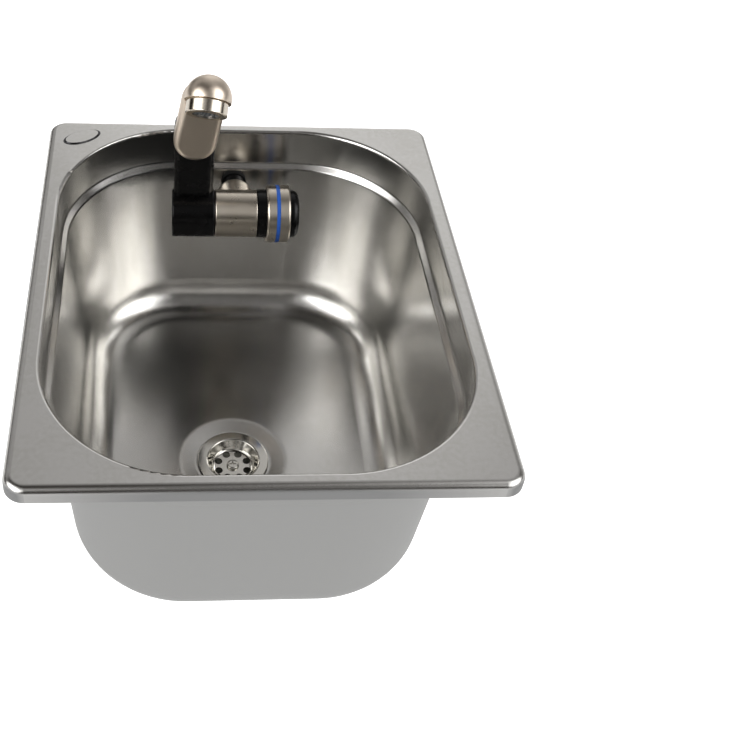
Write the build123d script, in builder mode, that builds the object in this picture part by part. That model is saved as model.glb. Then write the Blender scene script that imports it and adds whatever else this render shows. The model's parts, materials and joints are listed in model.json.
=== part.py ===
from build123d import *
from math import atan2, cos, degrees, radians, sin, tan
import os

# A camper's inset sink: a deep-drawn stainless basin hung by its rim, a waste outlet
# in its floor and a cold tap on the inside of its back wall, whose arm folds down.
# Millimetres. z = 0 is the worktop that the turned-down rim stands on, the origin is
# the centre of the rim, +X is the user's right and +Y points away from the user.

# Basin
sheet = 0.8
rim_width = 265.0
rim_length = 325.0
rim_corner = 11.5
rim_height = 9.5
rim_roll = 4.5
flange_side = 12.0
flange_end = 10.0
opening_corner = 82.0
opening_round = 2.2
collar_depth = 26.0
collar_draft = 1.5
shoulder_step = 3.5
shoulder_drop = 3.8
shoulder_round = 2.0
bowl_depth = 150.0
wall_draft = 4.7
floor_round = 25.0
oval_length = 25.0
oval_width = 13.0
oval_rise = 0.8
oval_edge = 0.4
oval_foot = 0.3
oval_turn = 31.0
oval_from_side = 22.6
oval_from_back = 20.3

# Fits
run_gap = 0.05
seat_gap = 0.05
face_gap = 0.3

# Waste outlet
drain_x = -6.0
drain_y = -20.0
recess_radius = 36.0
recess_flat_radius = 25.6
recess_drop = 2.0
recess_edge = 18.0
recess_foot = 8.0
drain_hole_radius = 20.0
top_seal_thick = 1.0
lower_seal_thick = 2.0
strainer_radius = 24.0
waste_flange_radius = 24.0
strainer_sheet = 1.0
dish_radius = 18.5
dish_floor_radius = 14.5
dish_depth = 7.0
dish_round = 4.0
strainer_hole_radius = 2.6
strainer_hole_ring = 10.4
strainer_hole_count = 8
strainer_hole_turn = 22.5
drain_screw_radius = 2.0
drain_screw_head_radius = 4.2
drain_screw_head = 2.0
drain_screw_round = 1.4
drain_screw_length = 16.0
waste_wall = 2.5
waste_flange_thick = 3.0
waste_height = 34.0
waste_boss_radius = 5.5
insert_radius = 3.4
insert_length = 12.0
outlet_radius = 12.5
outlet_wall = 2.5
outlet_length = 30.0
outlet_chamfer = 1.2
outlet_stop_radius = 13.8
outlet_stop_length = 2.0
outlet_lift = 0.4

# Tap body on the back wall
tap_x = -3.4
tap_drop = 39.8
tap_reach = 37.5
barrel_radius = 16.5
barrel_left = -18.3
barrel_right = 10.9
barrel_edge = 0.8
neck_radius = 12.2
neck_round = 4.8
stem_radius = 7.0
stem_past_nut = 4.0
stem_bore_radius = 3.5
wall_collar_radius = 8.2
wall_collar_thick = 8.5
wall_collar_edge = 0.5
wall_seal_radius = 8.8
wall_seal_thick = 2.2
back_seal_thick = 2.6
back_washer_radius = 10.8
back_washer_thick = 1.5
locknut_flats = 20.0
locknut_thick = 6.0
tail_radius = 5.0
tail_bore_radius = 3.0
tail_length = 20.0
tail_flange_radius = 7.5
tail_flange_thick = 2.5
tail_plug_length = 8.0

# Hub spigot and its seals
spigot_radius = 9.0
spigot_bore_radius = 4.0
o_ring_section = 0.95
hub_length = 29.4
hub_seal_inset = 6.5
hub_cap_radius = 12.0
hub_cap_thick = 1.6
clip_thick = 1.0
clip_stand = 2.3
clip_groove = 0.8
hub_clip_room = 2.2

# Folding arm
arm_depth = 17.0
arm_back = 14.0
arm_root_width = 27.0
arm_eye_radius = 13.4
arm_edge = 5.5
arm_bore_radius = 3.5
arm_bore_back = 4.0
riser_height = 66.6
hub_edge = 1.2

# Swivel between arm and spout
swivel_radius = 7.0
swivel_bore_radius = 3.5
swivel_socket = 7.5
swivel_cap_radius = 10.0
swivel_cap_thick = 1.2
swivel_room = 3.0
swivel_seal_spread = 5.3

# Spout
bar_width = 28.4
bar_thick = 11.6
bar_span = 29.2
bar_front_edge = 5.4
bar_back_edge = 2.5
bar_gap = 0.4
bar_lean = 9.4
bar_bore_radius = 3.2
head_radius = 14.8
head_reach = 41.7
head_forward = 24.2
neck_stub_radius = 12.6
jet_slope = 46.0
jet_drop = 2.2
aerator_radius = 13.1
aerator_length = 8.4
aerator_edge = 0.8
aerator_thread_radius = 11.5
aerator_thread_length = 4.2
aerator_bore_radius = 9.8
aerator_lip_radius = 8.8
aerator_lip = 1.2
aerator_seal_thick = 1.5
head_chamber_radius = 7.5
head_chamber_depth = 3.0
insert_thick = 4.5
insert_hole_radius = 0.95
insert_hole_pitch = 2.9

# Knob and valve
cavity_radius = 11.0
cavity_floor = -8.0
disc_thick = 2.5
turning_disc_radius = 8.0
disc_port_radius = 2.4
disc_port_ring = 4.6
disc_gap = 0.05
spindle_radius = 4.0
spindle_flange_radius = 7.0
spindle_flange_thick = 2.4
spindle_end = 30.0
cartridge_front = 10.6
cartridge_sleeve_radius = 8.5
cartridge_window = 6.5
spindle_seal_at = 7.5
knob_gap = 0.3
knob_neck_radius = 16.8
knob_ring_left = 17.3
knob_ring_right = 33.6
knob_ring_radius = 20.0
knob_ring_edge = 1.6
knob_core_radius = 16.2
knob_wall = 2.4
knob_web_left = 20.0
knob_web_thick = 3.0
knob_boss_radius = 7.0
knob_boss_left = 15.0
marker_centre = 25.1
marker_width = 2.6
marker_depth = 0.8
marker_proud = 0.15
knob_cap_radius = 16.4
knob_cap_end = 39.9
knob_cap_round = 4.2
knob_cap_wall = 2.2
knob_cap_plug = 3.0
knob_screw_radius = 1.5
knob_screw_head_radius = 5.0
knob_screw_head = 2.4
knob_screw_length = 9.0

# Levels and places that follow from the sizes above
opening_width = rim_width - 2 * flange_side
opening_length = rim_length - 2 * flange_end
shoulder_z = rim_height - collar_depth
wall_top_z = shoulder_z - shoulder_drop
floor_z = rim_height - bowl_depth
shoulder_slope = degrees(atan2(shoulder_step, shoulder_drop))
collar_inset = collar_depth * tan(radians(collar_draft))
wall_inset = collar_inset + shoulder_step
tap_z = rim_height - tap_drop
wall_lean = tan(radians(wall_draft))
tap_wall = opening_length / 2 - wall_inset - (wall_top_z - tap_z) * wall_lean
tap_y = tap_wall - tap_reach
hub_right = barrel_left - face_gap
hub_left = hub_right - hub_length
hub_centre = (hub_left + hub_right) / 2
o_ring_centre = spigot_radius - o_ring_section

# Planes: turned pieces are drawn as length along local x and radius along local y
tap_side = Plane(origin=(0, tap_y, tap_z), x_dir=(1, 0, 0), z_dir=(0, -1, 0))
tap_axis = Axis((0, tap_y, tap_z), (1, 0, 0))
stem_side = Plane(origin=(tap_x, tap_y, tap_z), x_dir=(0, 1, 0), z_dir=(1, 0, 0))
stem_axis = Axis((tap_x, tap_y, tap_z), (0, 1, 0))
stem_face = Plane(origin=(tap_x, tap_y, tap_z), x_dir=(1, 0, 0), z_dir=(0, 1, 0))
drain_side = Plane(origin=(drain_x, drain_y, 0), x_dir=(1, 0, 0), z_dir=(0, -1, 0))
drain_axis = Axis((drain_x, drain_y, 0), (0, 0, 1))
wall_normal = Vector(0, cos(radians(wall_draft)), -sin(radians(wall_draft)))
wall_inside = Plane(origin=(tap_x, tap_wall, tap_z), x_dir=(1, 0, 0), z_dir=wall_normal)
wall_outside = wall_inside.offset(sheet)

os.makedirs("parts", exist_ok=True)


def save(piece, name):
    piece.part.label = name
    export_step(piece.part, f"parts/{name}.step")


# Basin: the rim block and the bowl form are each made twice, a sheet apart
def rim_block(inset):
    with BuildPart() as block:
        with BuildSketch():
            RectangleRounded(rim_width - 2 * inset, rim_length - 2 * inset, rim_corner - inset)
        extrude(amount=rim_height - inset)
        fillet(block.faces().sort_by(Axis.Z)[-1].edges(), rim_roll - inset)
    return block.part


def bend_drop(lower, upper):
    # How far a bend goes down for each millimetre that both of its faces move out
    mean = radians((lower + upper) / 2)
    half = radians((lower - upper) / 2)
    return sin(mean) / cos(half)


def bowl_form(grow):
    wall_bend = wall_top_z - grow * bend_drop(wall_draft, shoulder_slope)
    collar_bend = shoulder_z - grow * bend_drop(shoulder_slope, collar_draft)
    floor_inset = wall_inset + (wall_top_z - floor_z) * wall_lean
    # Wall, sloping shoulder and collar: slope, lower and upper level, foot of the inside face
    bands = (
        (wall_draft, floor_z - grow, wall_bend, floor_z, floor_inset),
        (shoulder_slope, wall_bend, collar_bend, wall_top_z, wall_inset),
        (collar_draft, collar_bend, rim_height, shoulder_z, collar_inset),
    )
    with BuildPart() as form:
        for slope, low, high, foot_z, foot_inset in bands:
            lean = tan(radians(slope))
            inset = foot_inset + (foot_z - low) * lean - grow / cos(radians(slope))
            with BuildSketch(Plane.XY.offset(low)):
                RectangleRounded(
                    opening_width - 2 * inset,
                    opening_length - 2 * inset,
                    opening_corner - inset,
                )
            extrude(amount=high - low, taper=-slope)
        for bend, bend_round in (
            (collar_bend, shoulder_round + grow),
            (wall_bend, shoulder_round + sheet - grow),
        ):
            ring = form.edges().filter_by_position(Axis.Z, bend - 0.1 * sheet, bend + 0.1 * sheet)
            fillet(ring, bend_round)
        fillet(form.faces().sort_by(Axis.Z)[0].edges(), floor_round + grow)
    return form.part


def recess_form(grow):
    with BuildPart() as form:
        with Locations((drain_x, drain_y, floor_z - grow)):
            Cone(
                recess_flat_radius + grow, recess_radius + grow, recess_drop,
                align=(Align.CENTER, Align.CENTER, Align.MAX),
            )
        fillet(form.faces().sort_by(Axis.Z)[0].edges(), recess_foot + grow)
    return form.part


with BuildPart() as basin:
    add(rim_block(0))
    add(rim_block(sheet), mode=Mode.SUBTRACT)
    add(bowl_form(sheet))
    add(bowl_form(0), mode=Mode.SUBTRACT)
    # The rim turns down into the bowl by a round of its own, outside first
    under_z = rim_height - sheet
    under_rim = basin.edges().filter_by_position(Axis.Z, under_z - 0.2 * sheet, under_z + 0.2 * sheet)
    mouth_reach = opening_length / 2 + 2 * sheet
    fillet(under_rim.filter_by_position(Axis.Y, -mouth_reach, mouth_reach), opening_round - sheet)
    top_face = basin.faces().filter_by(Axis.Z).sort_by(Axis.Z)[-1]
    fillet(top_face.inner_wires()[0].edges(), opening_round)
    # Round recess for the waste outlet, with a soft edge under the floor and on it
    add(recess_form(sheet))
    add(recess_form(0), mode=Mode.SUBTRACT)
    for level, radius, edge_round in (
        (floor_z - sheet, recess_radius + sheet, recess_edge - sheet),
        (floor_z, recess_radius, recess_edge),
    ):
        rings = basin.edges().filter_by_position(Axis.Z, level - 0.2 * sheet, level + 0.2 * sheet)
        rings = rings.filter_by(GeomType.CIRCLE).filter_by_position(
            Axis.X, drain_x - radius, drain_x + radius
        )
        fillet(rings.sort_by_distance((drain_x, drain_y, level))[0], edge_round)
    with Locations((drain_x, drain_y, floor_z)):
        Cylinder(drain_hole_radius, 4 * recess_drop + 4 * sheet, mode=Mode.SUBTRACT)
    # Tap hole through the back wall, drilled from the bowl
    with BuildSketch(stem_face.offset(tap_reach - floor_round)):
        Circle(stem_radius + face_gap)
    extrude(amount=2 * floor_round, mode=Mode.SUBTRACT)
    # Plain oval pressed up in the rim's back left corner, with soft edges
    oval_place = Plane(
        origin=(oval_from_side - rim_width / 2, rim_length / 2 - oval_from_back, rim_height),
        x_dir=(cos(radians(oval_turn)), sin(radians(oval_turn)), 0),
        z_dir=(0, 0, 1),
    )
    with BuildSketch(oval_place):
        Ellipse(oval_length / 2, oval_width / 2)
    extrude(amount=oval_rise)
    fillet(basin.faces().sort_by(Axis.Z)[-1].edges(), oval_edge)
    ovals = basin.edges().filter_by(GeomType.ELLIPSE)
    fillet(ovals.filter_by_position(Axis.Z, rim_height - 0.2 * sheet, rim_height + 0.2 * sheet), oval_foot)
save(basin, "basin")

# Waste outlet, from the top down
recess_floor_z = floor_z - recess_drop
strainer_z = recess_floor_z + top_seal_thick
dish_floor_z = strainer_z - dish_depth
underside_z = recess_floor_z - sheet
waste_top_z = underside_z - lower_seal_thick
waste_inner_radius = drain_hole_radius
waste_outer_radius = waste_inner_radius + waste_wall
waste_floor_z = waste_top_z - waste_height

with BuildPart() as drain_top_seal:
    with BuildSketch(Plane.XY.offset(recess_floor_z)):
        with Locations((drain_x, drain_y)):
            Circle(strainer_radius - strainer_sheet)
            Circle(drain_hole_radius, mode=Mode.SUBTRACT)
    extrude(amount=top_seal_thick)
save(drain_top_seal, "drain_top_seal")

with BuildPart() as drain_strainer:
    with BuildSketch(drain_side):
        with BuildLine():
            Polyline(
                (drain_screw_radius + seat_gap, dish_floor_z),
                (dish_floor_radius, dish_floor_z),
                (dish_radius, strainer_z),
                (strainer_radius, strainer_z),
                (strainer_radius, strainer_z + strainer_sheet),
                (dish_radius - strainer_sheet, strainer_z + strainer_sheet),
                (dish_floor_radius - strainer_sheet, dish_floor_z + strainer_sheet),
                (drain_screw_radius + seat_gap, dish_floor_z + strainer_sheet),
                close=True,
            )
        make_face()
    revolve(axis=drain_axis)
    rims = drain_strainer.edges().filter_by(GeomType.CIRCLE).group_by(Axis.Z)
    fillet(rims[-1].sort_by(SortBy.RADIUS)[-1], 0.6 * strainer_sheet)
    rims = drain_strainer.edges().filter_by(GeomType.CIRCLE).group_by(Axis.Z)
    fillet(rims[-1].sort_by(SortBy.RADIUS)[0], 1.5 * strainer_sheet)
    rims = drain_strainer.edges().filter_by(GeomType.CIRCLE).group_by(Axis.Z)
    fillet(rims[1].sort_by(SortBy.RADIUS)[-1], dish_round)
    rims = drain_strainer.edges().filter_by(GeomType.CIRCLE).group_by(Axis.Z)
    fillet(rims[0].sort_by(SortBy.RADIUS)[-1], dish_round + strainer_sheet)
    with BuildSketch(Plane.XY.offset(dish_floor_z - strainer_sheet)):
        with Locations((drain_x, drain_y)):
            with PolarLocations(strainer_hole_ring, strainer_hole_count, strainer_hole_turn):
                Circle(strainer_hole_radius)
    extrude(amount=3 * strainer_sheet, mode=Mode.SUBTRACT)
save(drain_strainer, "drain_strainer")

screw_seat_z = dish_floor_z + strainer_sheet
with BuildPart() as drain_screw:
    with BuildSketch(drain_side):
        with BuildLine():
            Polyline(
                (0, screw_seat_z - drain_screw_length),
                (drain_screw_radius, screw_seat_z - drain_screw_length),
                (drain_screw_radius, screw_seat_z),
                (drain_screw_head_radius, screw_seat_z),
                (drain_screw_head_radius, screw_seat_z + drain_screw_head),
                (0, screw_seat_z + drain_screw_head),
                close=True,
            )
        make_face()
    revolve(axis=drain_axis)
    fillet(drain_screw.faces().sort_by(Axis.Z)[-1].edges(), drain_screw_round)
    with BuildSketch(Plane.XY.offset(screw_seat_z + drain_screw_head)):
        with Locations((drain_x, drain_y)):
            Rectangle(1.1 * drain_screw_head_radius, 0.2 * drain_screw_head_radius)
            Rectangle(0.2 * drain_screw_head_radius, 1.1 * drain_screw_head_radius)
    extrude(amount=-0.6 * drain_screw_head, mode=Mode.SUBTRACT)
save(drain_screw, "drain_screw")

with BuildPart() as drain_lower_seal:
    with BuildSketch(Plane.XY.offset(waste_top_z)):
        with Locations((drain_x, drain_y)):
            Circle(waste_flange_radius)
            Circle(waste_inner_radius, mode=Mode.SUBTRACT)
    extrude(amount=lower_seal_thick)
save(drain_lower_seal, "drain_lower_seal")

boss_top_z = dish_floor_z - seat_gap
outlet_z = waste_floor_z + waste_wall + outlet_stop_radius + outlet_lift
outlet_stop = waste_outer_radius + outlet_stop_length
with BuildPart() as drain_body:
    with BuildSketch(drain_side):
        with BuildLine():
            Polyline(
                (0, waste_floor_z),
                (waste_outer_radius, waste_floor_z),
                (waste_outer_radius, waste_top_z - waste_flange_thick),
                (waste_flange_radius, waste_top_z - waste_flange_thick),
                (waste_flange_radius, waste_top_z),
                (0, waste_top_z),
                close=True,
            )
        make_face()
    revolve(axis=drain_axis)
    fillet(drain_body.faces().sort_by(Axis.Z)[0].edges(), waste_wall)
    # Hose spigot with the shoulder that stops the hose
    outlet_face = Plane(origin=(drain_x, drain_y, outlet_z), x_dir=(1, 0, 0), z_dir=(0, 1, 0))
    with BuildSketch(outlet_face):
        Circle(outlet_stop_radius)
    extrude(amount=outlet_stop)
    with BuildSketch(outlet_face.offset(outlet_stop)):
        Circle(outlet_radius)
    extrude(amount=outlet_length)
    chamfer(drain_body.faces().sort_by(Axis.Y)[-1].edges(), outlet_chamfer)
    # The cup inside, round the boss that takes the screw, and its way out
    with BuildSketch(drain_side):
        with BuildLine():
            Polyline(
                (0, boss_top_z), (waste_boss_radius, boss_top_z),
                (waste_boss_radius, waste_floor_z + waste_wall),
                (waste_inner_radius, waste_floor_z + waste_wall),
                (waste_inner_radius, waste_top_z), (0, waste_top_z), close=True,
            )
        make_face()
    revolve(axis=drain_axis, mode=Mode.SUBTRACT)
    with BuildSketch(outlet_face.offset((waste_boss_radius + waste_inner_radius) / 2)):
        Circle(outlet_radius - outlet_wall)
    extrude(amount=outlet_stop + outlet_length, mode=Mode.SUBTRACT)
    with BuildSketch(Plane.XY.offset(boss_top_z)):
        with Locations((drain_x, drain_y)):
            Circle(insert_radius + seat_gap)
    extrude(amount=-insert_length, mode=Mode.SUBTRACT)
    with BuildSketch(Plane.XY.offset(boss_top_z)):
        with Locations((drain_x, drain_y)):
            Circle(drain_screw_radius + seat_gap)
    extrude(amount=-drain_screw_length, mode=Mode.SUBTRACT)
save(drain_body, "drain_body")

with BuildPart() as drain_insert:
    with BuildSketch(Plane.XY.offset(boss_top_z)):
        with Locations((drain_x, drain_y)):
            Circle(insert_radius)
            Circle(drain_screw_radius + seat_gap, mode=Mode.SUBTRACT)
    extrude(amount=-insert_length)
save(drain_insert, "drain_insert")

# Tap body: barrel across the wall, spigot for the hub on its left, stem through the wall
collar_front = tap_reach - wall_seal_thick - wall_collar_thick
washer_front = tap_reach + sheet + back_seal_thick
nut_front = washer_front + back_washer_thick
stem_end = nut_front + locknut_thick + stem_past_nut
clip_right = hub_left + hub_cap_thick + hub_clip_room
spigot_end = clip_right - clip_thick - clip_groove
hub_seal_places = (hub_right - hub_seal_inset, clip_right + hub_seal_inset)
with BuildPart() as tap_body:
    with BuildSketch(tap_side):
        with Locations(((barrel_left + barrel_right) / 2, 0)):
            Rectangle(barrel_right - barrel_left, barrel_radius, align=(Align.CENTER, Align.MIN))
    revolve(axis=tap_axis)
    fillet(tap_body.edges().filter_by(GeomType.CIRCLE), barrel_edge)
    with BuildSketch(stem_face):
        Circle(neck_radius)
    extrude(amount=collar_front)
    fillet(tap_body.faces().sort_by(Axis.Y)[-1].edges(), neck_round)
    with BuildSketch(stem_face.offset(collar_front)):
        Circle(stem_radius)
    extrude(amount=stem_end - collar_front)
    with BuildSketch(tap_side):
        with BuildLine():
            Polyline(
                (barrel_left, 0), (barrel_left, spigot_radius),
                (spigot_end, spigot_radius), (spigot_end, 0), close=True,
            )
        make_face()
    revolve(axis=tap_axis)
    # Grooves for the seals and the retaining clip, and the ring that feeds the arm
    with BuildSketch(tap_side):
        for place in hub_seal_places:
            with Locations((place, spigot_radius)):
                Rectangle(2 * o_ring_section, 4 * o_ring_section)
        with Locations((clip_right - clip_thick / 2, spigot_radius)):
            Rectangle(clip_thick + 2 * seat_gap, 2 * clip_groove)
        with Locations((hub_centre, spigot_radius)):
            Rectangle(2 * arm_bore_radius, 2 * clip_groove)
    revolve(axis=tap_axis, mode=Mode.SUBTRACT)
    # Waterways: stem, valve cavity, outlet to the hub and its cross holes
    with BuildSketch(stem_face.offset(cavity_radius / 2)):
        Circle(stem_bore_radius)
    extrude(amount=stem_end, mode=Mode.SUBTRACT)
    with BuildSketch(stem_face.offset(stem_end)):
        Circle(tail_radius + seat_gap)
    extrude(amount=-tail_plug_length, mode=Mode.SUBTRACT)
    with BuildSketch(tap_side):
        with BuildLine():
            Polyline(
                (barrel_right, 0), (barrel_right, cavity_radius), (cavity_floor, cavity_radius),
                (cavity_floor, spigot_bore_radius), (hub_centre - arm_bore_radius, spigot_bore_radius),
                (hub_centre - arm_bore_radius, 0), close=True,
            )
        make_face()
    revolve(axis=tap_axis, mode=Mode.SUBTRACT)
    with BuildSketch(Plane(origin=(hub_centre, tap_y, tap_z))):
        Circle(0.8 * arm_bore_radius)
    extrude(amount=spigot_radius, both=True, mode=Mode.SUBTRACT)
save(tap_body, "tap_body")

with BuildPart() as wall_collar:
    with BuildSketch(stem_face.offset(collar_front)):
        Circle(wall_collar_radius)
        Circle(stem_radius + seat_gap, mode=Mode.SUBTRACT)
    extrude(amount=wall_collar_thick)
    fillet(wall_collar.faces().sort_by(Axis.Y)[0].outer_wire().edges(), wall_collar_edge)
save(wall_collar, "wall_collar")

# The seals are squeezed to the wall's slant
with BuildPart() as wall_seal:
    with BuildSketch(stem_face.offset(collar_front + wall_collar_thick)):
        Circle(wall_seal_radius)
        Circle(stem_radius + seat_gap, mode=Mode.SUBTRACT)
    extrude(amount=2 * wall_seal_thick)
    split(bisect_by=wall_inside, keep=Keep.BOTTOM)
save(wall_seal, "wall_seal")

with BuildPart() as back_seal:
    with BuildSketch(stem_face.offset(washer_front)):
        Circle(wall_seal_radius)
        Circle(stem_radius + seat_gap, mode=Mode.SUBTRACT)
    extrude(amount=-2 * back_seal_thick)
    split(bisect_by=wall_outside, keep=Keep.TOP)
save(back_seal, "back_seal")

with BuildPart() as back_washer:
    with BuildSketch(stem_face.offset(washer_front)):
        Circle(back_washer_radius)
        Circle(stem_radius + seat_gap, mode=Mode.SUBTRACT)
    extrude(amount=back_washer_thick)
save(back_washer, "back_washer")

with BuildPart() as locknut:
    with BuildSketch(stem_face.offset(nut_front)):
        RegularPolygon(locknut_flats / 2, 6, major_radius=False)
        Circle(stem_radius + seat_gap, mode=Mode.SUBTRACT)
    extrude(amount=locknut_thick)
save(locknut, "locknut")

with BuildPart() as inlet_hose_tail:
    with BuildSketch(stem_side):
        with BuildLine():
            Polyline(
                (stem_end - tail_plug_length, tail_bore_radius),
                (stem_end - tail_plug_length, tail_radius),
                (stem_end, tail_radius),
                (stem_end, tail_flange_radius),
                (stem_end + tail_flange_thick, tail_flange_radius),
                (stem_end + tail_flange_thick, tail_radius),
                (stem_end + tail_flange_thick + tail_length, tail_radius),
                (stem_end + tail_flange_thick + tail_length, tail_bore_radius),
                close=True,
            )
        make_face()
    revolve(axis=stem_axis)
save(inlet_hose_tail, "inlet_hose_tail")

with BuildPart() as hub_seals:
    with BuildSketch(tap_side):
        for place in hub_seal_places:
            with Locations((place, o_ring_centre)):
                Circle(o_ring_section)
    revolve(axis=tap_axis)
save(hub_seals, "hub_seals")

with BuildPart() as hub_clip:
    with BuildSketch(Plane(origin=(clip_right, tap_y, tap_z), x_dir=(0, 1, 0), z_dir=(-1, 0, 0))):
        Circle(spigot_radius + clip_stand)
        Circle(spigot_radius - clip_groove + seat_gap, mode=Mode.SUBTRACT)
        with Locations((-spigot_radius, 0)):
            Rectangle(spigot_radius, 0.9 * spigot_radius, mode=Mode.SUBTRACT)
    extrude(amount=clip_thick)
save(hub_clip, "hub_clip")

# Valve: a fixed disc at the cavity's floor, a turning disc on it and the headpiece over both
fixed_disc_right = cavity_floor + disc_thick
turning_left = fixed_disc_right + disc_gap
turning_right = turning_left + disc_thick
flange_right = turning_right + spindle_flange_thick
with BuildPart() as fixed_disc:
    with BuildSketch(Plane(origin=(cavity_floor, tap_y, tap_z), x_dir=(0, 1, 0), z_dir=(1, 0, 0))):
        Circle(cavity_radius - seat_gap)
        with PolarLocations(disc_port_ring, 2):
            Circle(disc_port_radius, mode=Mode.SUBTRACT)
    extrude(amount=disc_thick)
save(fixed_disc, "fixed_disc")

with BuildPart() as turning_disc:
    with BuildSketch(Plane(origin=(turning_left, tap_y, tap_z), x_dir=(0, 1, 0), z_dir=(1, 0, 0))):
        Circle(turning_disc_radius)
        with PolarLocations(disc_port_ring, 2, start_angle=90):
            Circle(disc_port_radius, mode=Mode.SUBTRACT)
    extrude(amount=disc_thick)
save(turning_disc, "turning_disc")

with BuildPart() as spindle:
    with BuildSketch(tap_side):
        with BuildLine():
            Polyline(
                (turning_right, 0), (turning_right, spindle_flange_radius),
                (flange_right, spindle_flange_radius), (flange_right, spindle_radius),
                (spindle_end, spindle_radius), (spindle_end, knob_screw_radius + seat_gap),
                (spindle_end - knob_screw_length, knob_screw_radius + seat_gap),
                (spindle_end - knob_screw_length, 0), close=True,
            )
        make_face()
    revolve(axis=tap_axis)
save(spindle, "spindle")

with BuildPart() as valve_headpiece:
    with BuildSketch(tap_side):
        with BuildLine():
            Polyline(
                (fixed_disc_right, cartridge_sleeve_radius), (fixed_disc_right, cavity_radius - seat_gap),
                (cartridge_front, cavity_radius - seat_gap), (cartridge_front, spindle_radius + run_gap),
                (flange_right + face_gap, spindle_radius + run_gap),
                (flange_right + face_gap, cartridge_sleeve_radius), close=True,
            )
        make_face()
    revolve(axis=tap_axis)
    with BuildSketch(tap_side):
        with Locations((spindle_seal_at, spindle_radius)):
            Rectangle(2 * o_ring_section, 4 * o_ring_section + 2 * run_gap)
    revolve(axis=tap_axis, mode=Mode.SUBTRACT)
    window_height = flange_right - turning_right
    with BuildSketch(stem_face):
        with Locations((turning_right - tap_x, 0)):
            Rectangle(window_height, cartridge_window)
    extrude(amount=cavity_radius, both=True, mode=Mode.SUBTRACT)
save(valve_headpiece, "valve_headpiece")

with BuildPart() as spindle_seal:
    with BuildSketch(tap_side):
        with Locations((spindle_seal_at, spindle_radius + run_gap + o_ring_section)):
            Circle(o_ring_section)
    revolve(axis=tap_axis)
save(spindle_seal, "spindle_seal")

# Knob: black core and end cap, plated ring with its colour marker
core_left = barrel_right + knob_gap
with BuildPart() as knob_core:
    with BuildSketch(tap_side):
        with BuildLine():
            Polyline(
                (core_left, knob_neck_radius - knob_wall), (core_left, knob_neck_radius),
                (knob_ring_left, knob_neck_radius), (knob_ring_left, knob_core_radius),
                (knob_ring_right, knob_core_radius), (knob_ring_right, knob_core_radius - knob_wall),
                (knob_web_left + knob_web_thick, knob_core_radius - knob_wall),
                (knob_web_left + knob_web_thick, knob_boss_radius), (spindle_end, knob_boss_radius),
                (spindle_end, spindle_radius + seat_gap), (knob_boss_left, spindle_radius + seat_gap),
                (knob_boss_left, knob_boss_radius), (knob_web_left, knob_boss_radius),
                (knob_web_left, knob_neck_radius - knob_wall), close=True,
            )
        make_face()
    revolve(axis=tap_axis)
save(knob_core, "knob_core")

with BuildPart() as knob_ring:
    with BuildSketch(tap_side):
        with Locations(((knob_ring_left + knob_ring_right) / 2, knob_core_radius + seat_gap)):
            Rectangle(
                knob_ring_right - knob_ring_left, knob_ring_radius - knob_core_radius - seat_gap,
                align=(Align.CENTER, Align.MIN),
            )
    revolve(axis=tap_axis)
    fillet(knob_ring.edges().filter_by(GeomType.CIRCLE).group_by(SortBy.RADIUS)[-1], knob_ring_edge)
    with BuildSketch(tap_side):
        with Locations((marker_centre, knob_ring_radius)):
            Rectangle(marker_width, 2 * marker_depth)
    revolve(axis=tap_axis, mode=Mode.SUBTRACT)
save(knob_ring, "knob_ring")

with BuildPart() as knob_marker:
    with BuildSketch(tap_side):
        with Locations((marker_centre, knob_ring_radius - marker_depth + seat_gap)):
            Rectangle(
                marker_width - 2 * seat_gap, marker_depth + marker_proud - seat_gap,
                align=(Align.CENTER, Align.MIN),
            )
    revolve(axis=tap_axis)
save(knob_marker, "knob_marker")

plug_radius = knob_core_radius - knob_wall - seat_gap
with BuildPart() as knob_cap:
    with BuildSketch(tap_side):
        with BuildLine():
            Polyline(
                (knob_ring_right - knob_cap_plug, plug_radius - knob_cap_wall),
                (knob_ring_right - knob_cap_plug, plug_radius),
                (knob_ring_right, plug_radius), (knob_ring_right, knob_cap_radius),
                (knob_cap_end, knob_cap_radius), (knob_cap_end, 0), (knob_cap_end - knob_cap_wall, 0),
                (knob_cap_end - knob_cap_wall, plug_radius - knob_cap_wall), close=True,
            )
        make_face()
    revolve(axis=tap_axis)
    fillet(knob_cap.faces().sort_by(Axis.X)[-1].edges(), knob_cap_round)
save(knob_cap, "knob_cap")

with BuildPart() as knob_screw:
    with BuildSketch(tap_side):
        with BuildLine():
            Polyline(
                (spindle_end - knob_screw_length + seat_gap, 0),
                (spindle_end - knob_screw_length + seat_gap, knob_screw_radius),
                (spindle_end, knob_screw_radius), (spindle_end, knob_screw_head_radius),
                (spindle_end + knob_screw_head, knob_screw_head_radius), (spindle_end + knob_screw_head, 0),
                close=True,
            )
        make_face()
    revolve(axis=tap_axis)
save(knob_screw, "knob_screw")

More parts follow.
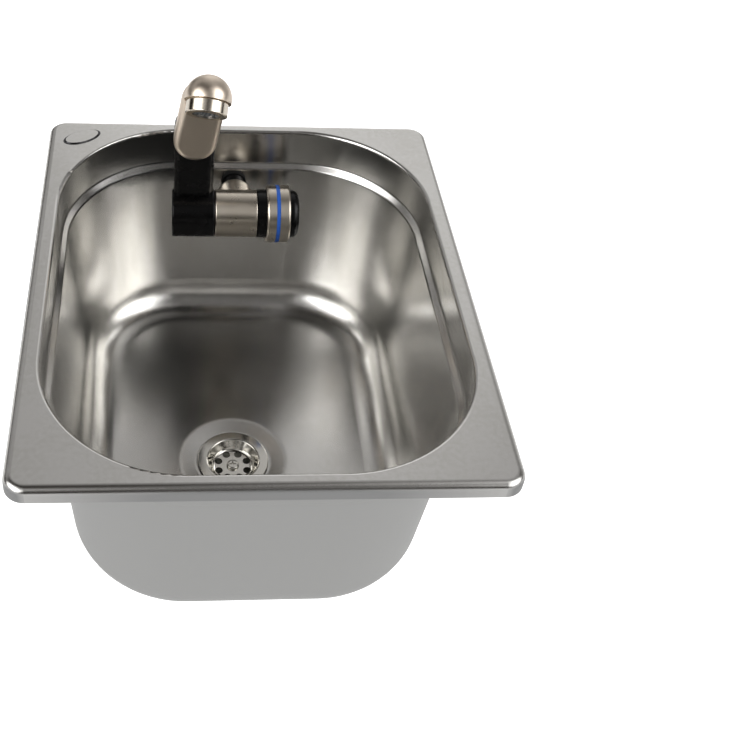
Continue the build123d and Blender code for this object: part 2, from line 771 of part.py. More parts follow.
# Folding arm: a hub on the spigot and a riser that ends in the swivel eye
pivot_z = tap_z + riser_height
arm_front = arm_back - arm_depth
swivel_face = Plane(origin=(hub_centre, tap_y, pivot_z), x_dir=(1, 0, 0), z_dir=(0, 1, 0))
swivel_side = Plane(origin=(hub_centre, tap_y, pivot_z), x_dir=(0, 1, 0), z_dir=(1, 0, 0))
swivel_axis = Axis((hub_centre, tap_y, pivot_z), (0, 1, 0))
with BuildPart() as arm:
    with BuildSketch(swivel_face.offset(arm_front)):
        with BuildLine():
            CenterArc((0, 0), arm_eye_radius, 0, 360)
            Line((-arm_root_width / 2, riser_height), (arm_root_width / 2, riser_height))
        make_hull()
    extrude(amount=arm_depth)
    long_edges = arm.faces().filter_by(Axis.Y).edges()
    fillet(long_edges.sort_by(Axis.Z)[2:], arm_edge)
    with BuildSketch(tap_side):
        with Locations((hub_centre, 0)):
            Rectangle(hub_length, barrel_radius, align=(Align.CENTER, Align.MIN))
    revolve(axis=tap_axis)
    hub_ends = arm.faces().filter_by(Axis.X).sort_by(Axis.X)
    fillet(hub_ends[0].edges() + hub_ends[-1].edges(), hub_edge)
    with BuildSketch(tap_side):
        with BuildLine():
            Polyline(
                (hub_right, 0), (hub_right, spigot_radius + run_gap),
                (clip_right + face_gap, spigot_radius + run_gap), (clip_right + face_gap, hub_cap_radius),
                (hub_left, hub_cap_radius), (hub_left, 0), close=True,
            )
        make_face()
    revolve(axis=tap_axis, mode=Mode.SUBTRACT)
    with BuildSketch(Plane(origin=(hub_centre, tap_y + arm_bore_back, tap_z))):
        Circle(arm_bore_radius)
    extrude(amount=riser_height, mode=Mode.SUBTRACT)
    with BuildSketch(swivel_face.offset(arm_front)):
        Circle(swivel_radius + run_gap)
    extrude(amount=arm_depth, mode=Mode.SUBTRACT)
    with BuildSketch(swivel_face.offset(arm_back)):
        Circle(swivel_cap_radius)
    extrude(amount=-swivel_room, mode=Mode.SUBTRACT)
save(arm, "arm")

with BuildPart() as hub_cap:
    with BuildSketch(Plane(origin=(hub_left, tap_y, tap_z), x_dir=(0, 1, 0), z_dir=(1, 0, 0))):
        Circle(hub_cap_radius - seat_gap)
    extrude(amount=hub_cap_thick)
save(hub_cap, "hub_cap")

with BuildPart() as swivel_cap:
    with BuildSketch(swivel_face.offset(arm_back)):
        Circle(swivel_cap_radius - seat_gap)
    extrude(amount=-swivel_cap_thick)
save(swivel_cap, "swivel_cap")

# Swivel spigot: fixed in the spout, turning in the arm's eye
bar_back = arm_front - bar_gap
swivel_clip_front = arm_back - swivel_room + run_gap
swivel_end = arm_back - swivel_cap_thick - face_gap
swivel_seal_places = (arm_bore_back - swivel_seal_spread, arm_bore_back + swivel_seal_spread)
with BuildPart() as swivel_spigot:
    with BuildSketch(swivel_side):
        with BuildLine():
            Polyline(
                (bar_back - swivel_socket, 0), (bar_back - swivel_socket, swivel_radius),
                (swivel_end, swivel_radius), (swivel_end, 0), close=True,
            )
        make_face()
    revolve(axis=swivel_axis)
    with BuildSketch(swivel_side):
        for place in swivel_seal_places:
            with Locations((place, swivel_radius)):
                Rectangle(2 * o_ring_section, 4 * o_ring_section)
        with Locations((swivel_clip_front + clip_thick / 2, swivel_radius)):
            Rectangle(clip_thick + 2 * seat_gap, 2 * clip_groove)
        with Locations((arm_bore_back, swivel_radius)):
            Rectangle(2 * arm_bore_radius, 2 * clip_groove)
    revolve(axis=swivel_axis, mode=Mode.SUBTRACT)
    with BuildSketch(swivel_face.offset(bar_back - swivel_socket)):
        Circle(swivel_bore_radius)
    extrude(amount=arm_bore_back + arm_bore_radius - bar_back + swivel_socket, mode=Mode.SUBTRACT)
    with BuildSketch(Plane(origin=(hub_centre, tap_y + arm_bore_back, pivot_z))):
        Circle(0.8 * arm_bore_radius)
    extrude(amount=swivel_radius, both=True, mode=Mode.SUBTRACT)
save(swivel_spigot, "swivel_spigot")

with BuildPart() as swivel_seals:
    with BuildSketch(swivel_side):
        for place in swivel_seal_places:
            with Locations((place, swivel_radius - o_ring_section)):
                Circle(o_ring_section)
    revolve(axis=swivel_axis)
save(swivel_seals, "swivel_seals")

with BuildPart() as swivel_clip:
    with BuildSketch(swivel_face.offset(swivel_clip_front)):
        Circle(swivel_radius + clip_stand)
        Circle(swivel_radius - clip_groove + seat_gap, mode=Mode.SUBTRACT)
        with Locations((0, swivel_radius)):
            Rectangle(0.9 * swivel_radius, swivel_radius, mode=Mode.SUBTRACT)
    extrude(amount=clip_thick)
save(swivel_clip, "swivel_clip")

# Spout: a flat bar with round ends, leaning to the right, and a ball head over the jet
lean = radians(bar_lean)
bar_face = Plane(
    origin=(hub_centre, tap_y + bar_back, pivot_z), x_dir=(cos(lean), 0, -sin(lean)), z_dir=(0, -1, 0)
)
head_centre = bar_face.from_local_coords(Vector(0, head_reach, head_forward + bar_back))
jet = bar_face.z_dir * cos(radians(jet_slope)) - bar_face.y_dir * sin(radians(jet_slope))
jet_start = head_centre + jet * jet_drop
jet_face = Plane(origin=jet_start, x_dir=bar_face.x_dir, z_dir=jet)
jet_side = Plane(origin=jet_start, x_dir=jet, z_dir=bar_face.x_dir)
jet_axis = Axis(jet_start, jet)
socket_depth = aerator_thread_length + aerator_seal_thick
neck_foot = bar_face.from_local_coords(Vector(0, bar_span, bar_thick / 2))
neck_line = head_centre - neck_foot
with BuildPart() as head:
    with BuildSketch(Plane(origin=neck_foot, x_dir=bar_face.x_dir, z_dir=neck_line)):
        Circle(neck_stub_radius)
    extrude(amount=neck_line.length)
    with Locations(Plane(origin=head_centre)):
        Sphere(head_radius)
    split(bisect_by=jet_face, keep=Keep.BOTTOM)

with BuildPart() as spout:
    with BuildSketch(bar_face):
        with Locations((0, bar_span / 2)):
            SlotCenterToCenter(bar_span, bar_width, rotation=90)
    extrude(amount=bar_thick)
    fillet(spout.faces().sort_by(Axis.Y)[0].edges(), bar_front_edge)
    fillet(spout.faces().sort_by(Axis.Y)[-1].edges(), bar_back_edge)
    add(head.part)
    with BuildSketch(jet_face):
        Circle(aerator_thread_radius + seat_gap)
    extrude(amount=-socket_depth, mode=Mode.SUBTRACT)
    with BuildSketch(jet_face.offset(-socket_depth)):
        Circle(head_chamber_radius)
    extrude(amount=-head_chamber_depth, mode=Mode.SUBTRACT)
    with BuildSketch(bar_face):
        Circle(swivel_radius + seat_gap)
    extrude(amount=swivel_socket, mode=Mode.SUBTRACT)
    bore_plane = Plane(
        origin=bar_face.from_local_coords(Vector(0, 0, swivel_socket / 2)),
        x_dir=bar_face.x_dir, z_dir=bar_face.y_dir,
    )
    with BuildSketch(bore_plane):
        Circle(bar_bore_radius)
    extrude(amount=bar_span + neck_stub_radius / 2, mode=Mode.SUBTRACT)
    with BuildSketch(bar_face.offset(bar_thick / 2)):
        with Locations((0, bar_span + neck_stub_radius / 2)):
            Circle(bar_bore_radius)
    extrude(amount=head_forward + bar_back - bar_thick / 2, mode=Mode.SUBTRACT)
save(spout, "spout")

with BuildPart() as aerator_seal:
    with BuildSketch(jet_face.offset(-socket_depth)):
        Circle(aerator_thread_radius)
        Circle(aerator_bore_radius - aerator_lip, mode=Mode.SUBTRACT)
    extrude(amount=aerator_seal_thick)
save(aerator_seal, "aerator_seal")

with BuildPart() as aerator_housing:
    with BuildSketch(jet_side):
        with BuildLine():
            Polyline(
                (-aerator_thread_length, aerator_bore_radius),
                (-aerator_thread_length, aerator_thread_radius), (0, aerator_thread_radius),
                (0, aerator_radius), (aerator_length, aerator_radius),
                (aerator_length, aerator_lip_radius), (aerator_length - aerator_lip, aerator_lip_radius),
                (aerator_length - aerator_lip, aerator_bore_radius), close=True,
            )
        make_face()
    revolve(axis=jet_axis)
    outer_rims = aerator_housing.edges().filter_by(GeomType.CIRCLE).group_by(SortBy.RADIUS)[-1]
    fillet(outer_rims, aerator_edge)
save(aerator_housing, "aerator_housing")

with BuildPart() as aerator_insert:
    with BuildSketch(jet_face.offset(aerator_length - aerator_lip)):
        Circle(aerator_bore_radius - seat_gap)
        with HexLocations(insert_hole_pitch / 2, 5, 5):
            Circle(insert_hole_radius, mode=Mode.SUBTRACT)
    extrude(amount=-insert_thick)
save(aerator_insert, "aerator_insert")
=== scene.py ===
import json
from math import cos, radians, sin, tau

import bmesh
import bpy
from mathutils import Matrix, Vector


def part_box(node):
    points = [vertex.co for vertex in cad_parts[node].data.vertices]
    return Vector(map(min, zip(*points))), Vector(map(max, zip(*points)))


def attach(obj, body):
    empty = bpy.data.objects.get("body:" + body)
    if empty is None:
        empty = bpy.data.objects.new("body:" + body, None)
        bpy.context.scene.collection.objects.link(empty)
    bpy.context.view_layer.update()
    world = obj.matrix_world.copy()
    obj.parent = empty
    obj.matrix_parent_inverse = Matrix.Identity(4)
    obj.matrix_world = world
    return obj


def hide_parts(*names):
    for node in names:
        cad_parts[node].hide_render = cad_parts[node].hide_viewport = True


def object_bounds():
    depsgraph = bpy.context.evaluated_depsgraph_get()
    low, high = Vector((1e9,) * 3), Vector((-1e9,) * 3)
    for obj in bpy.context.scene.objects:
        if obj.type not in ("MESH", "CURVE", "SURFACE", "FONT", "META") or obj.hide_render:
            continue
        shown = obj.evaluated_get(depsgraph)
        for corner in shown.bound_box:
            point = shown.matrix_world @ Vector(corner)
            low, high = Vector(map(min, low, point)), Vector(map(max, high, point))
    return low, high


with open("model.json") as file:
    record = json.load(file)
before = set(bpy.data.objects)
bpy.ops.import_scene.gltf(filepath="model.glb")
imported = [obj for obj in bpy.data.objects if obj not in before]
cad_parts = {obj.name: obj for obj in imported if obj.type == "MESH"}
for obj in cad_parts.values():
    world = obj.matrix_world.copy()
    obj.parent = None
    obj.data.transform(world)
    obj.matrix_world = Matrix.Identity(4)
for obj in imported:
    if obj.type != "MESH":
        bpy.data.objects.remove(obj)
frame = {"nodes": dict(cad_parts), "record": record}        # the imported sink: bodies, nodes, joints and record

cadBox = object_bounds()     # the CAD model's own box, before anything is added
nodes = frame["nodes"]
scene = bpy.context.scene
mm = 0.001
weld = 0.001 * mm        # points nearer than this become one
print("frame loaded:", len(nodes), "nodes")


# camera, solved from the rim's four edges
shot = {
    "place": (-0.0528, -0.5022, 0.4449),   # metres, part frame
    "yaw": 7.0,                            # degrees towards the user's right
    "pitch": 42.1,                         # degrees down
    "roll": 4.92,
    "focal": 1105.0,                       # pixels
    "principal": (265.0, 300.0),           # pixels from the top left
    "frame": 736.0,                        # pixels, square
    "sensor": 36.0,                        # millimetres
    "nearest": 0.01,                       # metres
}


def addCamera():
    yaw, pitch, roll = (radians(shot[name]) for name in ("yaw", "pitch", "roll"))
    ahead = Vector((sin(yaw) * cos(pitch), cos(yaw) * cos(pitch), -sin(pitch)))
    level = Vector((cos(yaw), -sin(yaw), 0.0))
    upright = level.cross(ahead)
    right = cos(roll) * level + sin(roll) * upright
    up = cos(roll) * upright - sin(roll) * level
    data = bpy.data.cameras.new("photoCamera")
    data.sensor_width = shot["sensor"]
    data.lens = shot["focal"] / shot["frame"] * shot["sensor"]
    data.shift_x = 0.5 - shot["principal"][0] / shot["frame"]
    data.shift_y = shot["principal"][1] / shot["frame"] - 0.5
    data.clip_start = shot["nearest"]
    camera = bpy.data.objects.new("photoCamera", data)
    scene.collection.objects.link(camera)
    turn = Matrix((right, up, -ahead)).transposed().to_4x4()
    camera.matrix_world = Matrix.Translation(shot["place"]) @ turn
    scene.camera = camera


addCamera()
print("camera set")


# node helpers for the materials
def addNode(tree, kind, settings=None, links=None):
    node = tree.nodes.new(kind)
    for name, value in (settings or {}).items():
        if isinstance(name, int) or name[0].isupper():   # a socket, else the node's own option
            node.inputs[name].default_value = value
        else:
            setattr(node, name, value)
    for name, source in (links or {}).items():
        tree.links.new(source, node.inputs[name])
    return node


def linear(code):        # sRGB hex to Blender's linear colour
    parts = [int(code[place:place + 2], 16) / 255 for place in (1, 3, 5)]
    parts = [part / 12.92 if part <= 0.04045 else ((part + 0.055) / 1.055) ** 2.4 for part in parts]
    return (*parts, 1.0)


def newMaterial(name, colour, metallic=0.0, ior=1.5):
    material = bpy.data.materials.new(name)
    material.use_nodes = True
    tree = material.node_tree
    tree.nodes.clear()
    shader = addNode(tree, "ShaderNodeBsdfPrincipled",
                     {"Base Color": linear(colour), "Metallic": metallic, "IOR": ior})
    addNode(tree, "ShaderNodeOutputMaterial", links={"Surface": shader.outputs[0]})
    coords = addNode(tree, "ShaderNodeTexCoord")
    return material, tree, shader, coords


def perMm(size):         # texture scale for a pattern of that many millimetres
    return 1 / (size * mm)


# deep-drawn 18/10 stainless sheet: the inside and the rim are polished to a soft satin, which blurs what
# they mirror, with a faint drift of tone in draw lines down the walls; the outside is left dull
steelSheet = {
    "polished": "#dedddb", "worn": "#dad9d6",   # inside and rim
    "dull": "#bcbcbb", "edge": "#a9a9a9",       # outside of the bowl and of the rim
    "rough": 0.25, "dullRough": 0.42,
    "cloud": 34.0,                              # millimetres
    "drawLine": (3.0, 3.0, 120.0),              # millimetres across, across and down the wall
    "wear": (0.16, 0.34),                       # level of the pattern where the worn tone starts and is full
    "outward": (0.72, 0.94),                    # how far a face must look outwards to count as outside
    "downward": (-0.05, -0.25),                 # or downwards
    "rimFoot": (-1.0, 0.5),                     # millimetres up, where the rim's edge takes over
    "creaseShade": "#6e6e70",                        # painted shade in the crease round the pressed oval
    "ovalPlace": (-109.9, 142.2, 9.5),          # millimetres
    "ovalHalf": (12.5, 6.5), "ovalTurn": 31.0,  # millimetres, degrees
    "creaseShadeBand": (1.03, 0.07),                   # middle of the painted crease shade and half its width, in half ovals
}


def drawnStainless():
    look = steelSheet
    material, tree, shader, coords = newMaterial("drawnStainless", look["polished"], metallic=1.0)
    place, normal = coords.outputs["Object"], coords.outputs["Normal"]
    # outside: faces that look away from the middle, or down
    flat = addNode(tree, "ShaderNodeVectorMath", {"operation": "MULTIPLY", 1: (1, 1, 0)}, {0: place})
    away = addNode(tree, "ShaderNodeVectorMath", {"operation": "NORMALIZE"}, {0: flat.outputs[0]})
    outward = addNode(tree, "ShaderNodeVectorMath", {"operation": "DOT_PRODUCT"},
                      {0: away.outputs[0], 1: normal})
    side = addNode(tree, "ShaderNodeMapRange",
                   {"From Min": look["outward"][0], "From Max": look["outward"][1]},
                   {"Value": outward.outputs["Value"]})
    tilt = addNode(tree, "ShaderNodeSeparateXYZ", links={"Vector": normal})
    under = addNode(tree, "ShaderNodeMapRange",
                    {"From Min": look["downward"][0], "From Max": look["downward"][1]},
                    {"Value": tilt.outputs["Z"]})
    outside = addNode(tree, "ShaderNodeMath", {"operation": "MAXIMUM"},
                      {0: side.outputs[0], 1: under.outputs[0]})
    # inside: a cloudy drift, drawn out down the walls
    cloud = addNode(tree, "ShaderNodeTexNoise", {"Scale": perMm(look["cloud"]), "Detail": 3.0},
                    {"Vector": place})
    stretch = addNode(tree, "ShaderNodeMapping", {"Scale": tuple(perMm(size) for size in look["drawLine"])},
                      {"Vector": place})
    line = addNode(tree, "ShaderNodeTexNoise", {"Scale": 1.0, "Detail": 2.0}, {"Vector": stretch.outputs[0]})
    mottle = addNode(tree, "ShaderNodeMath", {"operation": "MULTIPLY"},
                     {0: cloud.outputs[0], 1: line.outputs[0]})
    worn = addNode(tree, "ShaderNodeMapRange", {"From Min": look["wear"][0], "From Max": look["wear"][1]},
                   {"Value": mottle.outputs[0]})
    inside = addNode(tree, "ShaderNodeMix",
                     {"data_type": "RGBA", 6: linear(look["polished"]), 7: linear(look["worn"])},
                     {0: worn.outputs[0]})
    height = addNode(tree, "ShaderNodeSeparateXYZ", links={"Vector": place})
    rim = addNode(tree, "ShaderNodeMapRange",
                  {"From Min": look["rimFoot"][0] * mm, "From Max": look["rimFoot"][1] * mm},
                  {"Value": height.outputs["Z"]})
    outer = addNode(tree, "ShaderNodeMix",
                    {"data_type": "RGBA", 6: linear(look["dull"]), 7: linear(look["edge"])},
                    {0: rim.outputs[0]})
    colour = addNode(tree, "ShaderNodeMix", {"data_type": "RGBA"},
                     {0: outside.outputs[0], 6: inside.outputs[2], 7: outer.outputs[2]})
    # painted shade: a dark ring along the foot of the pressed oval
    oval = addNode(tree, "ShaderNodeMapping",
                   {"vector_type": "TEXTURE", "Location": tuple(size * mm for size in look["ovalPlace"]),
                    "Rotation": (0, 0, radians(look["ovalTurn"])),
                    "Scale": (*(size * mm for size in look["ovalHalf"]), 1.0)}, {"Vector": place})
    reach = addNode(tree, "ShaderNodeVectorMath", {"operation": "LENGTH"}, {0: oval.outputs[0]})
    # the ring where the painted crease shade darkens the steel's colour
    creaseShadeMask = addNode(tree, "ShaderNodeMath",
                   {"operation": "COMPARE", 1: look["creaseShadeBand"][0], 2: look["creaseShadeBand"][1]},
                   {0: reach.outputs["Value"]})
    withCreaseShade = addNode(tree, "ShaderNodeMix", {"data_type": "RGBA", 7: linear(look["creaseShade"])},
                     {0: creaseShadeMask.outputs[0], 6: colour.outputs[2]})
    tree.links.new(withCreaseShade.outputs[2], shader.inputs["Base Color"])
    rough = addNode(tree, "ShaderNodeMapRange", {"To Min": look["rough"], "To Max": look["dullRough"]},
                    {"Value": outside.outputs[0]})
    tree.links.new(rough.outputs[0], shader.inputs["Roughness"])
    return material


# the other finishes share one build: a colour, a roughness that drifts in patches, and a fine surface that
# is an even grain, or runs in lines where the three sizes of grain differ, as turning and brushing leave it
evenGrain = (0.6, 0.6, 0.6)   # millimetres
grainDepth = 0.1              # millimetres, before lift scales it
quarterTurn = 0.25            # of a full turn


def finish(name, colour, rough, metallic=0.0, ior=1.5, cloud=12.0, grain=evenGrain, lift=0.02, brushed=0.0):
    material, tree, shader, coords = newMaterial(name, colour, metallic, ior)
    if brushed:          # highlights spread along X, across lines that run round the tap's axis
        shader.inputs["Anisotropic"].default_value = brushed
        shader.inputs["Anisotropic Rotation"].default_value = quarterTurn
        around = addNode(tree, "ShaderNodeTangent", {"direction_type": "RADIAL", "axis": "X"})
        tree.links.new(around.outputs[0], shader.inputs["Tangent"])
    place = coords.outputs["Object"]
    drift = addNode(tree, "ShaderNodeTexNoise", {"Scale": perMm(cloud), "Detail": 3.0}, {"Vector": place})
    spread = addNode(tree, "ShaderNodeMapRange",          # noise lies mostly between 0.3 and 0.7
                     {"From Min": 0.3, "From Max": 0.7, "To Min": rough[0], "To Max": rough[1]},
                     {"Value": drift.outputs[0]})
    tree.links.new(spread.outputs[0], shader.inputs["Roughness"])
    stretch = addNode(tree, "ShaderNodeMapping", {"Scale": tuple(perMm(size) for size in grain)},
                      {"Vector": place})
    surface = addNode(tree, "ShaderNodeTexNoise", {"Scale": 1.0, "Detail": 2.0},
                      {"Vector": stretch.outputs[0]})
    bump = addNode(tree, "ShaderNodeBump", {"Strength": lift, "Distance": grainDepth * mm},
                   {"Height": surface.outputs[0]})
    tree.links.new(bump.outputs[0], shader.inputs["Normal"])
    return material


materials = {
    "stainless": drawnStainless(),
    # pressed and polished sheet: sharp reflections, fine polishing haze
    "polished_steel": finish("polishedSteel", "#d8d6d1", (0.08, 0.14), metallic=1.0),
    # nickel plate over brushed brass: warm grey, brushed round the tap's axis
    "satin_nickel": finish("satinNickelPlate", "#ddd6cb", (0.26, 0.32), metallic=1.0,
                           grain=(0.35, 25.0, 25.0), brushed=0.55),
    # moulded ABS: deep black with soft highlights
    "black_plastic": finish("blackAbs", "#060607", (0.22, 0.30), ior=1.54),
    # EPDM rubber: matt, with a talc bloom
    "black_rubber": finish("blackEpdm", "#161616", (0.6, 0.75), ior=1.52, grain=(0.4, 0.4, 0.4), lift=0.08),
    # moulded polypropylene: milky, waxy surface with a fine spark-eroded grain
    "white_plastic": finish("whitePolypropylene", "#e6e5e0", (0.38, 0.48), ior=1.49,
                            grain=(0.5, 0.5, 0.5), lift=0.06),
    "grey_plastic": finish("greyPolypropylene", "#8b8e91", (0.42, 0.52), ior=1.49,
                           grain=(0.5, 0.5, 0.5), lift=0.06),
    # free-cutting brass off the lathe: fine rings across the axis of the stem
    "brass": finish("turnedBrass", "#c8a455", (0.2, 0.28), metallic=1.0, grain=(25.0, 0.3, 25.0), lift=0.05),
    # lapped alumina: even and waxy
    "ceramic": finish("lappedAlumina", "#efece4", (0.15, 0.2), ior=1.76),
    # moulded acetal: a waxy blue band
    "blue_plastic": finish("blueAcetal", "#4273c4", (0.3, 0.36), ior=1.48),
}
# the same plate on the cast spout, blasted to an even satin, and buffed on its sleeve to sharp reflections
ownFinish = {
    "spout": finish("blastedNickelPlate", "#e8ddd0", (0.32, 0.38), metallic=1.0),
    "aerator_housing": finish("buffedNickelPlate", "#e6dfd4", (0.16, 0.22), metallic=1.0),
}
for row in frame["record"]["subparts"]:
    mesh = nodes[row["node"]].data
    mesh.materials.clear()
    mesh.materials.append(ownFinish.get(row["node"], materials[row["material_slot"]]))
print("materials set")


# turned pieces: a half outline in millimetres along and out from an axis that runs along Y
def turned(outlines, centre, steps=72):
    bm = bmesh.new()
    for outline in outlines:
        points = [bm.verts.new(centre + mm * Vector((0, along, out))) for along, out in outline]
        sides = [bm.edges.new(pair) for pair in zip(points, points[1:] + points[:1])]
        bmesh.ops.spin(bm, geom=points + sides, cent=centre, axis=(0, 1, 0), dvec=(0, 0, 0),
                       angle=tau, steps=steps, use_merge=True)
    bmesh.ops.remove_doubles(bm, verts=bm.verts, dist=weld)
    bmesh.ops.recalc_face_normals(bm, faces=bm.faces)
    return bm


def addPiece(bm, name, body, slot, replaced=None, sharp=28):   # edges past that many degrees stay sharp
    mesh = bpy.data.meshes.new(name)
    bm.to_mesh(mesh)
    bm.free()
    mesh.shade_smooth()
    mesh.set_sharp_from_angle(angle=radians(sharp))
    mesh.materials.append(materials[slot])
    piece = bpy.data.objects.new(name, mesh)
    scene.collection.objects.link(piece)
    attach(piece, body)
    if replaced:
        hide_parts(replaced)


def startOf(node):       # where a node's axis along Y begins
    low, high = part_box(node)
    return Vector(((low[0] + high[0]) / 2, low[1], (low[2] + high[2]) / 2))


# barbed hose tail, screwed into the end of the stem; millimetres
hoseTail = {
    "plug": 8.0, "flange": 2.5, "length": 30.5,    # along the axis
    "bore": 3.0, "plugRadius": 5.0, "flangeRadius": 7.5,
    "barbs": (13.0, 18.5, 24.0), "barbLength": 5.0, "root": 4.5, "crest": 5.25,
    "barbFace": 0.15, "barbFlat": 0.5,             # how far the crest starts and ends from the barb's start
    "lead": 0.5, "bevel": 0.4, "ease": 0.3,        # chamfers of the plug, the flange and the small edges
}


def addHoseTail():
    size = hoseTail
    bore, root, crest, wide = size["bore"], size["root"], size["crest"], size["flangeRadius"]
    plug, end = size["plug"], size["length"]
    lead, bevel, ease = size["lead"], size["bevel"], size["ease"]
    flangeEnd = plug + size["flange"]
    outline = [(0, bore + lead), (lead, size["plugRadius"]), (plug, size["plugRadius"]),
               (plug, wide - bevel), (plug + bevel, wide), (flangeEnd - bevel, wide),
               (flangeEnd, wide - bevel), (flangeEnd, root + ease), (flangeEnd + ease, root)]
    for start in size["barbs"]:
        outline += [(start, root), (start + size["barbFace"], crest), (start + size["barbFlat"], crest),
                    (start + size["barbLength"], root)]
    outline += [(end - bevel, root - ease), (end, root - 2 * bevel), (end, bore + ease),
                (end - ease, bore), (lead, bore)]
    bm = turned([outline], startOf("inlet_hose_tail"))
    addPiece(bm, "barbedHoseTail", "sink", "brass", "inlet_hose_tail")


# hexagon locknut with chamfered corners; millimetres
hexNut = {
    "sides": 6, "flats": 20.0, "thick": 6.0,
    "bore": 7.05, "boreBevel": 0.8,
    "corner": 11.6, "face": 9.7, "bevel": 1.1,     # radii at corners and faces, bevel along the axis
    "steps": 120,
}


def addHexNut():
    size = hexNut
    bore, thick, bevel, ease = size["bore"], size["thick"], size["bevel"], size["boreBevel"]
    outline = [(0, bore + ease), (0, size["face"]), (bevel, size["corner"]), (thick - bevel, size["corner"]),
               (thick, size["face"]), (thick, bore + ease), (thick - ease, bore), (ease, bore)]
    centre = startOf("locknut")
    bm = turned([outline], centre, steps=size["steps"])
    for side in range(size["sides"]):
        turn = side * tau / size["sides"]
        out = Vector((cos(turn), 0, sin(turn)))
        flat = centre + 0.5 * size["flats"] * mm * out
        cut = bmesh.ops.bisect_plane(bm, geom=bm.verts[:] + bm.edges[:] + bm.faces[:], dist=weld,
                                     plane_co=flat, plane_no=out, clear_outer=True)
        rim = [part for part in cut["geom_cut"] if isinstance(part, bmesh.types.BMEdge)]
        bmesh.ops.edgeloop_fill(bm, edges=rim)
    bmesh.ops.recalc_face_normals(bm, faces=bm.faces)
    addPiece(bm, "hexLocknut", "sink", "brass", "locknut")


# the thread that shows on the stem between the nut and the tail; millimetres
stemThread = {
    "turns": 2.4, "pitch": 1.5, "start": 6.3,      # start is measured from the nut's front
    "root": 6.9, "crest": 7.35,
    "width": 1.1, "crestSpan": (0.45, 0.65),       # the ridge along the axis
    "steps": 48,                                   # in a turn
}


def addStemThread():
    size = stemThread
    centre = startOf("locknut") + Vector((0, size["start"] * mm, 0))
    bm = bmesh.new()
    ridge = [(0, size["root"]), *((along, size["crest"]) for along in size["crestSpan"]),
             (size["width"], size["root"])]
    points = [bm.verts.new(centre + mm * Vector((0, along, out))) for along, out in ridge]
    first = bm.faces.new(points)
    steps = round(size["turns"] * size["steps"])
    rise = Vector((0, size["pitch"] * mm / size["steps"], 0))
    bmesh.ops.spin(bm, geom=[first], cent=centre, axis=(0, 1, 0), dvec=rise,
                   angle=tau * size["turns"], steps=steps, use_merge=False)
    bmesh.ops.recalc_face_normals(bm, faces=bm.faces)
    addPiece(bm, "stemThread", "sink", "satin_nickel")


# rings that keep the waste hose on its spigot; millimetres
wasteRings = {
    "spigot": 30.0,                                # its length, back from the open end
    "starts": (8.0, 15.0, 22.0), "length": 5.0,
    "foot": 12.2, "crest": 12.95,                  # the foot lies inside the spigot's wall
    "crestSpan": (0.2, 0.6),                       # the crest along the axis, from the ring's start
    "steps": 96,
}


def addWasteRings():
    size = wasteRings
    outlet = next(mount for mount in frame["record"]["mounts"] if mount["name"] == "waste_outlet")
    across, _, up = outlet["pos_m"]
    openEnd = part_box("drain_body")[1][1]
    centre = Vector((across, openEnd - size["spigot"] * mm, up))
    outlines = [[(start, size["foot"]), *((start + way, size["crest"]) for way in size["crestSpan"]),
                 (start + size["length"], size["foot"])] for start in size["starts"]]
    addPiece(turned(outlines, centre, steps=size["steps"]), "wasteHoseRings", "sink", "white_plastic")


addHoseTail()
addHexNut()
addStemThread()
addWasteRings()
print("fittings added")


# floor and light
studio = {
    "floorHalf": 4.0, "floorDrop": 0.0005,     # metres, the drop keeps it clear of the lowest face
    "floorColour": "#8c8c8c", "floorRough": 0.9,
    "floorLight": "#ffffff",
    "floorGlow": 0.95, "floorMirrored": 0.5,   # as the camera sees it, and as the steel mirrors it
    "backdrop": "#f4f4f2",                     # what shows behind the floor
    "unlit": "#2a2520",                        # the dim room around the lit patches
    "edge": (27.0, 5.0),                       # degrees from a patch's middle where it fades out and is full
    "contrast": 0.76, "exposure": 0.42,        # a camera's own tone curve
}
# soft patches of light: degrees from +Y towards +X, degrees up, strength
patches = [
    (225, 26, 2.4), (258, 28, 1.6),               # tall window on the left
    (216, 44, 0.35), (252, 44, 0.75),
    (105, 26, 1.2), (135, 26, 1.3),               # the same on the right
    (108, 44, 1.3),
    (0, 8, 0.4), (35, 8, 0.25), (60, 8, 0.25),    # low strip behind the sink
    (15, 26, 0.45), (345, 26, 0.1), (315, 26, 0.3),
    (350, 44, 0.22), (36, 44, 0.2),               # pale wall and ceiling over it
    (0, 62, 0.2), (60, 62, 0.15), (120, 62, 0.3),
    (180, 50, 0.1),                               # dim room behind the camera
]


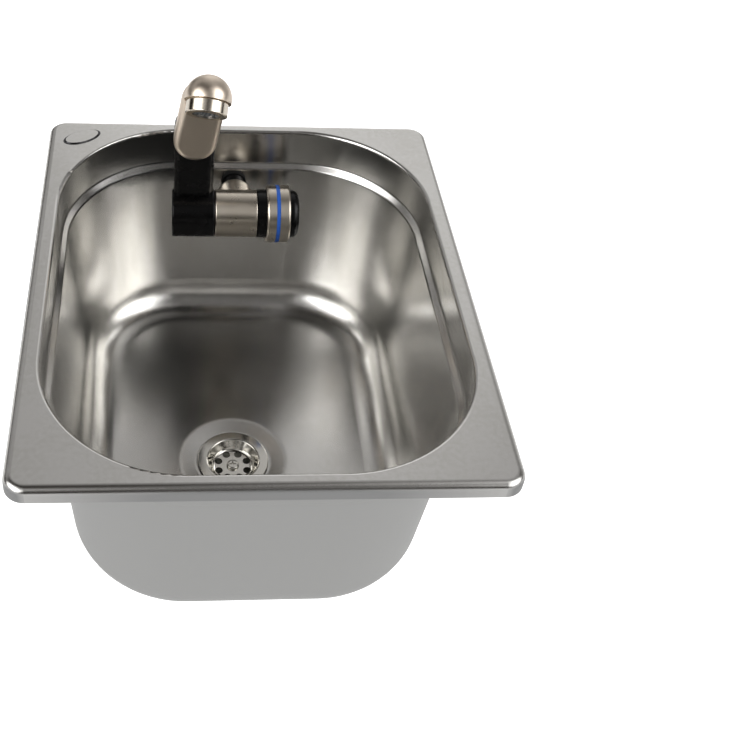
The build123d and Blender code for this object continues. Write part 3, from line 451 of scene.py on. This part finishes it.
def addFloor():
    bm = bmesh.new()
    bmesh.ops.create_grid(bm, x_segments=1, y_segments=1, size=studio["floorHalf"])
    bmesh.ops.translate(bm, verts=bm.verts, vec=(0, 0, cadBox[0].z - studio["floorDrop"]))
    mesh = bpy.data.meshes.new("studioFloor")
    bm.to_mesh(mesh)
    bm.free()
    floor = bpy.data.objects.new("studioFloor", mesh)
    scene.collection.objects.link(floor)
    material, tree, shader = newMaterial("palePaper", studio["floorColour"])[:3]
    shader.inputs["Roughness"].default_value = studio["floorRough"]
    shader.inputs["Emission Color"].default_value = linear(studio["floorLight"])
    seen = addNode(tree, "ShaderNodeLightPath").outputs["Is Camera Ray"]
    glow = addNode(tree, "ShaderNodeMapRange",
                   {"To Min": studio["floorMirrored"], "To Max": studio["floorGlow"]}, {"Value": seen})
    tree.links.new(glow.outputs[0], shader.inputs["Emission Strength"])
    mesh.materials.append(material)


def addWorld():
    world = bpy.data.worlds.new("studioWorld")
    world.use_nodes = True
    tree = world.node_tree
    tree.nodes.clear()
    way = addNode(tree, "ShaderNodeTexCoord").outputs["Generated"]
    light = addNode(tree, "ShaderNodeRGB").outputs[0]
    light.default_value = linear(studio["unlit"])
    fadeOut, full = (cos(radians(angle)) for angle in studio["edge"])
    for bearing, height, strength in patches:
        turn, rise = radians(bearing), radians(height)
        middle = (sin(turn) * cos(rise), cos(turn) * cos(rise), sin(rise))
        near = addNode(tree, "ShaderNodeVectorMath", {"operation": "DOT_PRODUCT", 1: middle}, {0: way})
        fade = addNode(tree, "ShaderNodeMapRange",
                       {"From Min": fadeOut, "From Max": full, "interpolation_type": "SMOOTHSTEP"},
                       {"Value": near.outputs["Value"]})
        light = addNode(tree, "ShaderNodeVectorMath", {"operation": "MULTIPLY_ADD", 1: (strength,) * 3},
                        {0: fade.outputs[0], 2: light}).outputs[0]
    lit = addNode(tree, "ShaderNodeBackground", links={"Color": light})
    plain = addNode(tree, "ShaderNodeBackground", {"Color": linear(studio["backdrop"])})
    seen = addNode(tree, "ShaderNodeLightPath").outputs["Is Camera Ray"]
    both = addNode(tree, "ShaderNodeMixShader", links={0: seen, 1: lit.outputs[0], 2: plain.outputs[0]})
    addNode(tree, "ShaderNodeOutputWorld", links={"Surface": both.outputs[0]})
    scene.world = world


addFloor()
addWorld()
scene.view_settings.view_transform = "Standard"
scene.view_settings.gamma = studio["contrast"]
scene.view_settings.exposure = studio["exposure"]
print("studio set")
